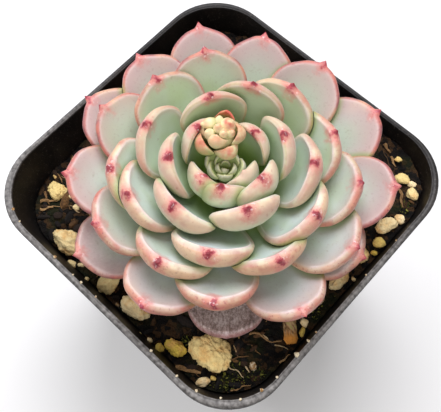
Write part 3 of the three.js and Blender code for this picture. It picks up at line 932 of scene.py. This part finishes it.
# Pine bark: dull red-brown cork in thin layers, paler and orange where it is freshly broken.
def makeBarkSkin():
    material, add, place = newMaterial("broken pine bark", {"Roughness": 0.9})
    # layers 0.6 mm apart, drawn out to 2.8 mm along the grain
    alongGrain = add("Mapping", {"Vector": place, "Rotation": (0, 0, math.radians(45)),
                                 "Scale": (0.3, 1.4, 1.4)})
    layers = add("TexNoise", {"Vector": alongGrain, "Scale": 1.2, "Detail": 4})
    tint = add("ValToRGB", [layers], [
        (0.3, "#4A321B"), (0.42, "#8D6942"), (0.55, "#BE9C72"), (0.7, "#A8A258")])
    fresh = add("Attribute", attribute_name="fresh").outputs["Fac"]
    ended = add("Mix", {0: fresh, 6: tint, 7: "#D9903A"}, **rgba)
    return finishMaterial(material, ended, layers, 0.7, 0.3)


# Living leaf skin: smooth and waxy, with a thin pale bloom that greys the green and softens every
# highlight; the bloom is painted paler on the lit side, a painted sheen. Red pigment gathers along the
# margin and round the mucro. A thin cream lip line is a painted highlight, and the crevices between
# leaves carry a painted shade.
def makeLeafSkin():
    look = {
        "green": "#9DBB62", "sage": "#B4C8B2", "shadedSage": "#AABD86", "bloom": "#CEDBDA",
        "heart": "#B4C06C", "oldFace": "#ABB0A4", "rosy": "#C0A0A4", "belly": "#D1C39C",
        "youngBelly": "#DADFC4",
        "bellyFoot": "#A6BC72", "bellyOld": "#C39185", "creviceShade": "#829E4A",
        "crimson": "#A8384A", "core": "#6E1C26", "halo": "#D17C74", "blotch": "#C66F5C",
        "scab": "#F4E2DE", "fleck": "#8B8A72",
        "yellowBand": "#DFC79C", "dustyRim": "#A06C6A", "freckle": "#8E4152",
    }
    material, add, place = newMaterial("leaf skin with waxy bloom", {
        "Roughness": 0.42, "IOR": 1.42, "Subsurface Weight": 0.10, "Subsurface Scale": 0.0012,
        "Subsurface Radius": (1.0, 0.85, 0.55), "Sheen Weight": 0.16, "Sheen Roughness": 0.35,
        "Sheen Tint": "#E4ECF4"})
    bladePlace, spotPlace, tone = (add("Attribute", attribute_name=name).outputs["Vector"]
                                   for name in ("blade", "spot", "tone"))
    softness, shaded = (add("Attribute", attribute_name=name).outputs["Fac"]
                        for name in ("soft", "shaded"))
    ring, along = add("SeparateXYZ", [bladePlace]).outputs[:2]
    age, nearness, dustiness = add("SeparateXYZ", [tone]).outputs
    # clouds 7 mm across, blotches of 3.5 mm, mottling of 1.2 mm, scabs of 0.75 mm, freckles of
    # 0.5 mm and pores of 0.25 mm
    clouds, blotches, mottle, scabs, freckles, pores = (
        add("TexNoise", {"Vector": place, "Scale": 1 / size, "Detail": detail})
        for size, detail in ((7, 2), (3.5, 3), (1.2, 3), (0.75, 3), (0.5, 2), (0.25, 1)))

    # face: green at the foot, sage further out, pale and bluish where the bloom is thick and more so on
    # the lit side, a painted sheen; on the shaded side a greener sage, a painted shade; the old faces are
    # grey, and turn rosy towards the lip
    grown = add("MapRange", [age, -0.3, 0.4, 0.2])
    sageShare = add("Math", [add("MapRange", [along, 0.2, 0.8], **soft), grown], **times)
    # painted shade: a greener sage on the shaded side of the rosette
    sage = add("Mix", {0: shaded, 6: look["sage"], 7: look["shadedSage"]}, **rgba)
    bloomAge = add("Math", [add("MapRange", [along, 0.25, 0.65], **soft), grown], **times)
    bloomOut = add("Math", [add("MapRange", [clouds, 0.35, 0.6, 0.4], **soft), bloomAge], **times)
    # painted sheen: the bloom shows most on the lit side and least on the shaded side
    bloomAndSheenShare = add("Math", [bloomOut, add("MapRange", [shaded, 0, 0.8, 1, 0.3])], **times)
    oldShare = add("MapRange", [age, 0.6, 1.05, 0, 0.6], **soft)
    nearLip = add("MapRange", [ring, 0.3, 0.95, 0, 1.3], **soft)
    rosyShare = add("Math", [nearLip, oldShare], **times)
    face = look["green"]
    for share, tint in ((add("MapRange", [age, 0, -0.4]), look["heart"]), (sageShare, sage),
                        (bloomAndSheenShare, look["bloom"]), (oldShare, look["oldFace"]),
                        (rosyShare, look["rosy"])):
        face = add("Mix", {0: share, 6: face, 7: tint}, **rgba)

    # belly: green at the foot, cream-green further out, redder on the older leaves
    grownBelly = add("MapRange", [age, 0.3, 0.75], **soft)
    outerBelly = add("Mix", {0: grownBelly, 6: look["youngBelly"], 7: look["belly"]}, **rgba)
    outBelly = add("MapRange", [along, 0.2, 0.85], **soft)
    oldBellyShare = add("MapRange", [age, 0.5, 1.05, 0, 0.75], **soft)
    belly = look["bellyFoot"]
    for share, tint in ((outBelly, outerBelly), (oldBellyShare, look["bellyOld"])):
        belly = add("Mix", {0: share, 6: belly, 7: tint}, **rgba)

    # margin: on the crisp leaves a thin cream lip line, a painted highlight, with peach below it, on the
    # soft ones a pink band that fades into the face; the ring is 1 on the lip, 2 on the outline and 3
    # under the leaf
    unevenRing = add("Math", [mottle, 0.03, ring], **timesPlus)
    ringShare = add("Math", [unevenRing, 1 / 3], **times)
    # the thin near-white stop on the lip is a painted highlight
    crisp = add("ValToRGB", [ringShare], [
        (0.285, "#CBBDAE", 0.0), (0.318, "#D8BAB2", 0.5), (0.332, "#FAF1EE", 1.0),
        (0.348, "#EFDDD8", 0.95), (0.39, "#DFC6BA", 0.9), (0.48, "#DDD2B6", 0.85),
        (0.60, "#DFC49C", 0.82), (0.70, "#D99F7C", 0.78), (0.80, "#CDB68A", 0.5), (0.93, "#B0BE7A", 0.0)])
    band = add("ValToRGB", [ringShare], [
        (0.23, "#B4B69C", 0.0), (0.31, "#C2A9A0", 0.3), (0.345, "#D3B8B1", 0.6),
        (0.42, "#CBACA7", 0.8), (0.50, "#B88580", 0.92), (0.58, "#9F5F5E", 0.95),
        (0.68, "#844548", 0.85), (0.90, "#A58A7B", 0.0)])
    blotchShift = add("MapRange", [blotches, 0.35, 0.65, -0.3, 0.3])
    bandShare = add("Math", [softness, 1.25, blotchShift], use_clamp=True, **timesPlus)
    onBevel = add("ValToRGB", [ringShare], [
        (0.345, 0.1), (0.48, 0.5), (0.62, 1.0), (0.76, 0.85), (0.90, 0.0)])
    blotchShare = add("MapRange", [blotches, 0.42, 0.6, 0, 0.85], **soft)
    # here and there the band is more yellow than pink
    yellowShare = add("MapRange", [clouds, 0.48, 0.76, 0, 0.55], **soft)
    margin = crisp
    for share, tint in ((bandShare, band), (add("Math", [onBevel, blotchShare], **times), look["blotch"]),
                        (yellowShare, look["yellowBand"])):
        margin = add("Mix", {0: share, 6: margin, 7: tint}, **rgba)
    marginShown = add("Mix", {0: bandShare, 2: crisp.outputs["Alpha"], 3: band.outputs["Alpha"]},
                      data_type="FLOAT")
    towardsTip = add("MapRange", [along, 0.25, 0.7, 0.1], **soft)
    marginOut = add("Math", [marginShown, towardsTip], **times)
    # the leaves still in the heart are green to the edge
    marginShare = add("Math", [marginOut, add("MapRange", [age, -0.5, 0.7, 0.25])], **times)

    # red round the mucro: a small dark spot, a soft stain running down the belly, pale scabs; the
    # oldest leaves have the smallest spots, and the heart has none
    stretched = add("VectorMath", [spotPlace, (1.0, 0.62, 0.8)], **times)
    tipAway = add("VectorMath", [stretched], operation="LENGTH")
    shrunk = add("ValToRGB", [age], [(0.0, 1.0), (0.02, 0.0), (0.5, 0.0), (0.95, 0.1)])
    shrunkAway = add("Math", [shrunk, 3, tipAway], **timesPlus)
    raggedness = add("Math", [mottle, 3, shrunkAway], **timesPlus)
    ragged = add("Math", [pores, 0.5, add("Math", [raggedness, 0.4], operation="SUBTRACT")], **timesPlus)
    haloShare, spotShare, coreShare = (
        add("MapRange", [ragged, reach, solid, 0, most], **soft)
        for reach, solid, most in ((4.1, 1.9, 0.75), (2.45, 1.7, 0.88), (2.0, 1.4, 0.7)))
    scabDots = add("MapRange", [scabs, 0.6, 0.7, 0, 0.7], **soft)
    scabShare = add("Math", [scabDots, haloShare], **times)

    # flecks are grey-green on the faces and crimson on the margins
    # painted shade: greener and darker where another leaf lies near
    creviceShadeShare = add("MapRange", [nearness, 0.4, 1.0, 0, 0.66], **soft)
    fleckShare = add("MapRange", [mottle, 0.64, 0.78, 0, 0.35], **soft)
    fleckTint = add("Mix", {0: onBevel, 6: look["fleck"], 7: look["crimson"]}, **rgba)
    # fine wine-red freckles, thickest on the margins of the older leaves
    frecklePlace = add("Math", [onBevel, 0.75, 0.12], **timesPlus)
    freckleOut = add("Math", [frecklePlace, add("MapRange", [age, 0.3, 0.95])], **times)
    freckleDots = add("MapRange", [freckles, 0.59, 0.68, 0, 0.7], **soft)
    freckleShare = add("Math", [freckleDots, freckleOut], **times)

    # dust lies in fine streaks that fan out from the foot
    fanned = add("VectorMath", [spotPlace, (2.3, 1.2, 1.2)], **times)
    streaks = add("TexNoise", {"Vector": fanned, "Scale": 1, "Detail": 4})
    grained = add("Math", [pores, 0.4, streaks], **timesPlus)
    clumped = add("Math", [blotches, 0.6, grained], **timesPlus)
    dustTint = add("ValToRGB", [add("Math", [clumped, -0.25], operation="ADD")], [
        (0.48, "#6C5B54"), (0.63, "#957F78"), (0.77, "#B9A39D"), (0.92, "#DFD0CC")])
    rimward = add("MapRange", [unevenRing, 1.25, 2.0, 0, 0.7], **soft)
    dust = add("Mix", {0: rimward, 6: dustTint, 7: look["dustyRim"]}, **rgba)
    dustShare = add("Math", [dustiness, 0.9], **times)

    shown = face
    for share, tint in ((add("MapRange", [ring, 1.8, 2.05], **soft), belly), (marginShare, margin),
                        (haloShare, look["halo"]), (spotShare, look["crimson"]),
                        (coreShare, look["core"]), (scabShare, look["scab"]),
                        (creviceShadeShare, look["creviceShade"]), (fleckShare, fleckTint),
                        (freckleShare, look["freckle"]), (dustShare, dust)):
        shown = add("Mix", {0: share, 6: shown, 7: tint}, **rgba)
    return finishMaterial(material, shown, add("Math", [pores, 0.3, mottle], **timesPlus), 0.25, 0.12)


# Litter on the mix and the lip
turnRound = 6.28        # radians
litter = {
    "seed": 7, "crumbs": 420, "fibres": 90, "mossHeight": (0.7, 1.7), "spread": 33,
    "crumbSize": (0.45, 1.95), "headroom": 1.3,
    "crumbFree": 17.3205, "fibreFree": 18,  # radii of the middle, where no crumb or fibre is drawn
    # the room that each needs, for crumbs and moss a share of their size
    "crumbRoom": 0.8, "mossRoom": 0.6, "fibreRoom": 0.7,
    # how far a crumb lies over its place, of its size, and how far moss and lip grains sink in
    "crumbLift": 0.12, "mossSink": 0.15, "grainSink": 0.12,
    # how far a fibre strays sideways, of its length, how much it tapers, and how flat it is
    "fibreSway": 0.16, "fibreTaper": 0.6, "fibreFlatness": 0.7,
    # start, end, thickness and paleness of the fibres and slivers that stand out
    "longFibres": [
        ((24.2, -18.2), (29.8, -15.1), 0.22, 0.6), ((25.5, -17.4), (31.8, -15.7), 0.16, 0.9),
        ((23.4, -21.8), (25.4, -22.9), 0.14, 0.8), ((25.9, -19.6), (28.5, -19.7), 0.13, 0.5),
        ((32.2, -18.4), (32.6, -15.8), 0.2, 0.8), ((17.8, -32.6), (22.2, -29.9), 0.5, 0.55),
        ((27.3, 25.0), (30.2, 22.1), 0.3, 0.5), ((21.5, 29.8), (23.6, 28.6), 0.25, 0.6),
        ((18.6, 31.2), (20.8, 30.2), 0.3, 0.5), ((-28.4, -27.2), (-25.8, -24.6), 0.35, 0.6),
        ((-27.2, -28.4), (-25.2, -26.2), 0.3, 0.75), ((-29.4, -24.8), (-26.4, -26.6), 0.25, 0.5),
        ((24.8, -24.2), (27.0, -21.4), 0.14, 0.4), ((28.8, -28.6), (30.8, -25.2), 0.15, 0.6),
    ],
    # where moss grows: middle, reach and number of shoots
    "moss": [
        (16.2, -27.4, 1.5, 60), (26.9, -28.5, 2.4, 110), (27.5, -25.2, 2.2, 60), (30.9, -6.2, 1.5, 60),
        (32.2, 9.2, 0.8, 16), (31.0, 22.6, 1.4, 30), (-27.0, -19.6, 1.2, 18), (30.6, -22.6, 1.3, 24),
        (19.4, -32.0, 1.0, 16), (32.0, -2.0, 1.0, 16),
    ],
    # pale grains caught on the inner edge of the lip: place and size
    "lipGrains": [
        (13.4, -33.7, 0.5), (20.1, -33.7, 0.4), (24.5, -33.2, 0.55), (28.6, -31.1, 0.4),
        (31.4, -28.9, 0.5), (33.1, -25.1, 0.6), (33.65, -21.5, 0.45), (33.65, -16.0, 0.95),
        (33.65, -12.6, 0.5), (33.65, -10.4, 0.4), (-13.1, -33.7, 0.6), (-5.6, -33.7, 0.5),
        (-7.9, -33.7, 0.35), (-26.7, -32.7, 0.6), (-23.8, -33.5, 0.4), (-1.5, -33.7, 0.35),
        (33.65, 4.5, 0.35), (33.65, 14.0, 0.3),
    ],
}


# The surface of the mix below a place; None past its edge
def groundBelow(x, y, ground):
    spot = ground.ray_cast(Vector((x, y, rimHeight + 5)) * mm, Vector((0, 0, -1)), rayLength)[0]
    return spot / mm if spot is not None else None


# Where a thing of this size can lie on the mix without touching a leaf; None if it can't.
def restingPlace(x, y, size, ground, cover):
    half = innerHalf(rimHeight - soil["depth"]) - soil["gap"] - size
    place = Vector((x, y))
    if place.length > half * roundedReach(place.normalized()):
        return None
    spot = groundBelow(x, y, ground)
    if spot is None:
        return None
    for step in range(6):
        way = Vector((math.cos(step * math.pi / 3), math.sin(step * math.pi / 3), 0))
        start = spot + way * size * 0.5 - Vector((0, 0, 0.5))
        headroom = (size + litter["headroom"]) * mm
        if cover.ray_cast(start * mm, Vector((0, 0, 1)), headroom)[0] is not None:
            return None
    return spot


def copyTo(master, toPlace, shade):
    copy = copyPiece(master)
    copy.data.transform(Matrix.Scale(mm, 4) @ toPlace)
    setFloats(copy.data, {"shade": shade})
    return copy


# Broken bits of peat, bark and grit, a few dozen faces each.
def makeCrumbs(material, ground, cover):
    masters = []
    for k in range(3):
        masters.append(addPrimitive(bpy.ops.mesh.primitive_cube_add, size=1))
        editWhole(bpy.ops.mesh.subdivide, number_cuts=1, smoothness=0.9, fractal=0.5 + 0.4 * k,
                  seed=k + 3)
    draws = random.Random(litter["seed"])
    spread = litter["spread"]
    parts = []
    while len(parts) < litter["crumbs"]:
        x, y = draws.uniform(-spread, spread), draws.uniform(-spread, spread)
        size = lerp(*litter["crumbSize"], draws.random() ** 3)
        spin, tip, shade = draws.uniform(0, turnRound), draws.uniform(-0.9, 0.9), draws.random() ** 1.5
        stretch = (draws.uniform(0.8, 1.9), draws.uniform(0.5, 1), draws.uniform(0.4, 0.8), 1)
        spot = restingPlace(x, y, size * litter["crumbRoom"], ground, cover)
        if spot is None or math.hypot(x, y) < litter["crumbFree"]:
            continue
        toPlace = (Matrix.Translation(spot + Vector((0, 0, size * litter["crumbLift"])))
                   @ Matrix.Rotation(spin, 4, "Z") @ Matrix.Rotation(tip, 4, "X")
                   @ Matrix.Diagonal(stretch) @ Matrix.Scale(size, 4))
        parts.append(copyTo(masters[len(parts) % 3], toPlace, shade))
    removePieces(*masters)
    return joinPieces(parts, "soil_crumbs", material)


# A fibre starts as a thin straight rod and takes the path that it lies along.
def layFibre(master, start, end, thickness, shade, seed, ground):
    piece = copyPiece(master)
    way = (end - start).normalized()
    side = Vector((-way.y, way.x))
    length = (end - start).length
    for vertex in piece.data.vertices:
        share = vertex.co.z
        sway = noise.noise(Vector((share * 2.2, seed * 5.3, 0))) * length * litter["fibreSway"]
        lift = 0.25 + 0.4 * (noise.noise(Vector((share * 1.8, 0, seed * 3.7))) + 0.3)
        thin = thickness * (1 - litter["fibreTaper"] * share ** 3)
        x, y = start + way * (length * share) + side * (sway + vertex.co.x * thin)
        spot = groundBelow(x, y, ground)
        base = soilHeight(x, y) if spot is None else spot.z
        vertex.co = Vector((x, y, base + lift * min(1, 4 * thickness + 0.3)
                            + vertex.co.y * thin * litter["fibreFlatness"])) * mm
    setFloats(piece.data, {"shade": shade})
    return piece


def makeFibres(material, ground, cover):
    master = addPrimitive(bpy.ops.mesh.primitive_cylinder_add, vertices=5, radius=1, depth=1,
                          location=(0, 0, 0.5))
    for k in range(1, 7):
        editWhole(bpy.ops.mesh.bisect, plane_co=(0, 0, k / 7), plane_no=(0, 0, 1))
    parts = []
    for k, (start, end, thickness, shade) in enumerate(litter["longFibres"]):
        parts.append(layFibre(master, Vector(start), Vector(end), thickness, shade, k, ground))
    draws = random.Random(litter["seed"] + 1)
    spread = litter["spread"]
    while len(parts) < litter["fibres"]:
        start = Vector((draws.uniform(-spread, spread), draws.uniform(-spread, spread)))
        turn, length = draws.uniform(0, turnRound), draws.uniform(1.5, 5)
        end = start + Vector((math.cos(turn), math.sin(turn))) * length
        thickness, shade = draws.uniform(0.06, 0.17), draws.random() ** 1.3
        clear = all(restingPlace(*start.lerp(end, share), litter["fibreRoom"], ground, cover) is not None
                    for share in (0, 0.25, 0.5, 0.75, 1))
        if clear and start.length > litter["fibreFree"]:
            parts.append(layFibre(master, start, end, thickness, shade, len(parts), ground))
    removePieces(master)
    return joinPieces(parts, "peat_fibres", material)


# A moss shoot is a thin four-sided cone, swollen and bent a little at the middle.
def makeMoss(material, ground, cover):
    master = addPrimitive(bpy.ops.mesh.primitive_cone_add, vertices=4, radius1=0.12, depth=1,
                          location=(0, 0, 0.5))
    editWhole(bpy.ops.mesh.bisect, plane_co=(0, 0, 0.5), plane_no=(0, 0, 1))
    for vertex in master.data.vertices:
        if abs(vertex.co.z - 0.5) < 0.01:
            vertex.co.x = vertex.co.x * 1.7 + 0.1
            vertex.co.y *= 1.7
    draws = random.Random(litter["seed"] + 2)
    parts = []
    for x, y, reach, count in litter["moss"]:
        for k in range(count):
            turn, out = draws.uniform(0, turnRound), reach * math.sqrt(draws.random())
            height = draws.uniform(*litter["mossHeight"]) * (1 - 0.4 * out / reach)
            lean, shade = draws.uniform(0, 0.7), draws.random()
            spot = restingPlace(x + out * math.cos(turn), y + out * math.sin(turn),
                                height * litter["mossRoom"], ground, cover)
            if spot is not None:
                toPlace = (Matrix.Translation(spot - Vector((0, 0, litter["mossSink"])))
                           @ Matrix.Rotation(turn, 4, "Z") @ Matrix.Rotation(lean, 4, "Y")
                           @ Matrix.Scale(height, 4))
                parts.append(copyTo(master, toPlace, shade))
    removePieces(master)
    return joinPieces(parts, "moss_tufts", material)


def makeLipGrains(material):
    master = addPrimitive(bpy.ops.mesh.primitive_ico_sphere_add, subdivisions=2, radius=0.5)
    for vertex in master.data.vertices:
        vertex.co *= 1 + 0.35 * noise.noise(vertex.co * 3.1)
    draws = random.Random(litter["seed"] + 3)
    parts = []
    for x, y, size in litter["lipGrains"]:
        toPlace = (Matrix.Translation((x, y, rimHeight - litter["grainSink"]))
                   @ Matrix.Rotation(draws.uniform(0, turnRound), 4, "Z")
                   @ Matrix.Diagonal((size * draws.uniform(1, 1.6), size, size * 0.7, 1)))
        parts.append(copyTo(master, toPlace, 0.85 + 0.15 * draws.random()))
    removePieces(master)
    return joinPieces(parts, "lip_grains", material)


# Peat bits run from nearly black and damp to dry tan, grit is cream; dull all over, 0.4 mm grain.
def makeLitterSkin(name, stops, roughness):
    material, add, place = newMaterial(name, {"Roughness": roughness})
    grain = add("TexNoise", {"Vector": place, "Scale": 1 / 0.4, "Detail": 2})
    shade = add("Attribute", attribute_name="shade").outputs["Fac"]
    varied = add("Math", [shade, add("Math", [grain, 0.35, -0.17], **timesPlus)], operation="ADD")
    return finishMaterial(material, add("ValToRGB", [varied], stops), grain, 0.6, 0.2)


def makeLitter(mix, leaves, stones):
    ground = treeOf(mix.data)
    copies = [copyPiece(piece) for piece in leaves + stones]
    selectOnly(*copies)
    bpy.ops.object.join()
    cover = treeOf(copies[0].data)
    removePieces(copies[0])
    crumb = makeLitterSkin("dry peat crumb and grit", [
        (0.2, "#0E0804"), (0.55, "#2A1A0D"), (0.75, "#5C3F20"), (0.88, "#946C3A"), (0.97, "#D6C8A8")],
        0.95)
    fibre = makeLitterSkin("peat fibre", [
        (0.1, "#2E1D0F"), (0.45, "#70502C"), (0.75, "#A98455"), (0.95, "#CDB48A")], 0.85)
    moss = makeLitterSkin("damp moss", [(0.1, "#2A300C"), (0.5, "#5A5F1C"), (0.9, "#9C9A42")], 0.7)
    makeCrumbs(crumb, ground, cover)
    makeFibres(fibre, ground, cover)
    makeMoss(moss, ground, cover)
    makeLipGrains(crumb)


# Camera and studio
view = {
    "elevation": 69.47, "azimuth": 44.40, "roll": -1.705, "distance": 129.84,
    "target": (3.50, -4.07, 65.0), "lens": 52.98,
}
studio = {
    "floor": "#F4F3F0", "floorSize": 3000, "aim": (2, -1, 72), "world": "#F4F6F8", "worldStrength": 0.33,
    # place, size, power and colour of each soft light
    "lights": [
        ((-90, 120, 330), 210, 1.15, "#F8F8FF"), ((130, -140, 260), 150, 0.30, "#FDF9FC"),
        ((-230, -60, 160), 140, 0.28, "#F6F8FF"),
    ],
}


def makeCamera():
    elevation, azimuth, roll = (math.radians(view[k]) for k in ("elevation", "azimuth", "roll"))
    back = Vector((math.sin(azimuth) * math.cos(elevation),
                   -math.cos(azimuth) * math.cos(elevation), math.sin(elevation)))
    right = Vector((0, 0, 1)).cross(back).normalized()
    up = back.cross(right)
    rolledRight = right * math.cos(roll) + up * math.sin(roll)
    rolledUp = up * math.cos(roll) - right * math.sin(roll)
    bpy.ops.object.camera_add()
    camera = bpy.context.object
    pose = Matrix((rolledRight, rolledUp, back)).transposed().to_4x4()
    pose.translation = (Vector(view["target"]) + back * view["distance"]) * mm
    camera.matrix_world = pose
    camera.data.lens = view["lens"]
    camera.data.clip_start = 0.001
    bpy.context.scene.camera = camera


def makeStudio():
    floor = addPrimitive(bpy.ops.mesh.primitive_plane_add, size=studio["floorSize"] * mm)
    floor.name = "floor"
    floor.data.materials.append(newMaterial("matt white studio board", {
        "Base Color": studio["floor"], "Roughness": 0.9})[0])
    for place, size, power, tint in studio["lights"]:
        bpy.ops.object.light_add(type="AREA", location=[v * mm for v in place])
        light = bpy.context.object
        light.data.size = size * mm
        light.data.energy = power
        light.data.color = colour(tint)[:3]
        light.rotation_mode = "QUATERNION"
        toAim = Vector(studio["aim"]) * mm - light.location
        light.rotation_quaternion = toAim.to_track_quat("-Z", "Y")
    world = bpy.data.worlds.new("studio")
    bpy.context.scene.world = world
    world.use_nodes = True
    background = world.node_tree.nodes["Background"].inputs
    background["Color"].default_value = colour(studio["world"])
    background["Strength"].default_value = studio["worldStrength"]
    bpy.context.scene.view_settings.view_transform = "Standard"


makeCamera()
makeStudio()
leaves = makePlant(makeLeafSkin(), makeBudSkin())
makeStem(makeStemSkin())
print("plant made")
stones = makeLumps(makePumiceStone())
print("pumice made")
chip = makeBark(makeBarkSkin())
makePot(makePotPlastic())
mix = makeSoil(makePeat(), leaves[:5] + stones + [chip])
print("pot and soil made")
makeLitter(mix, leaves[:15], stones + [chip])
print("litter made")
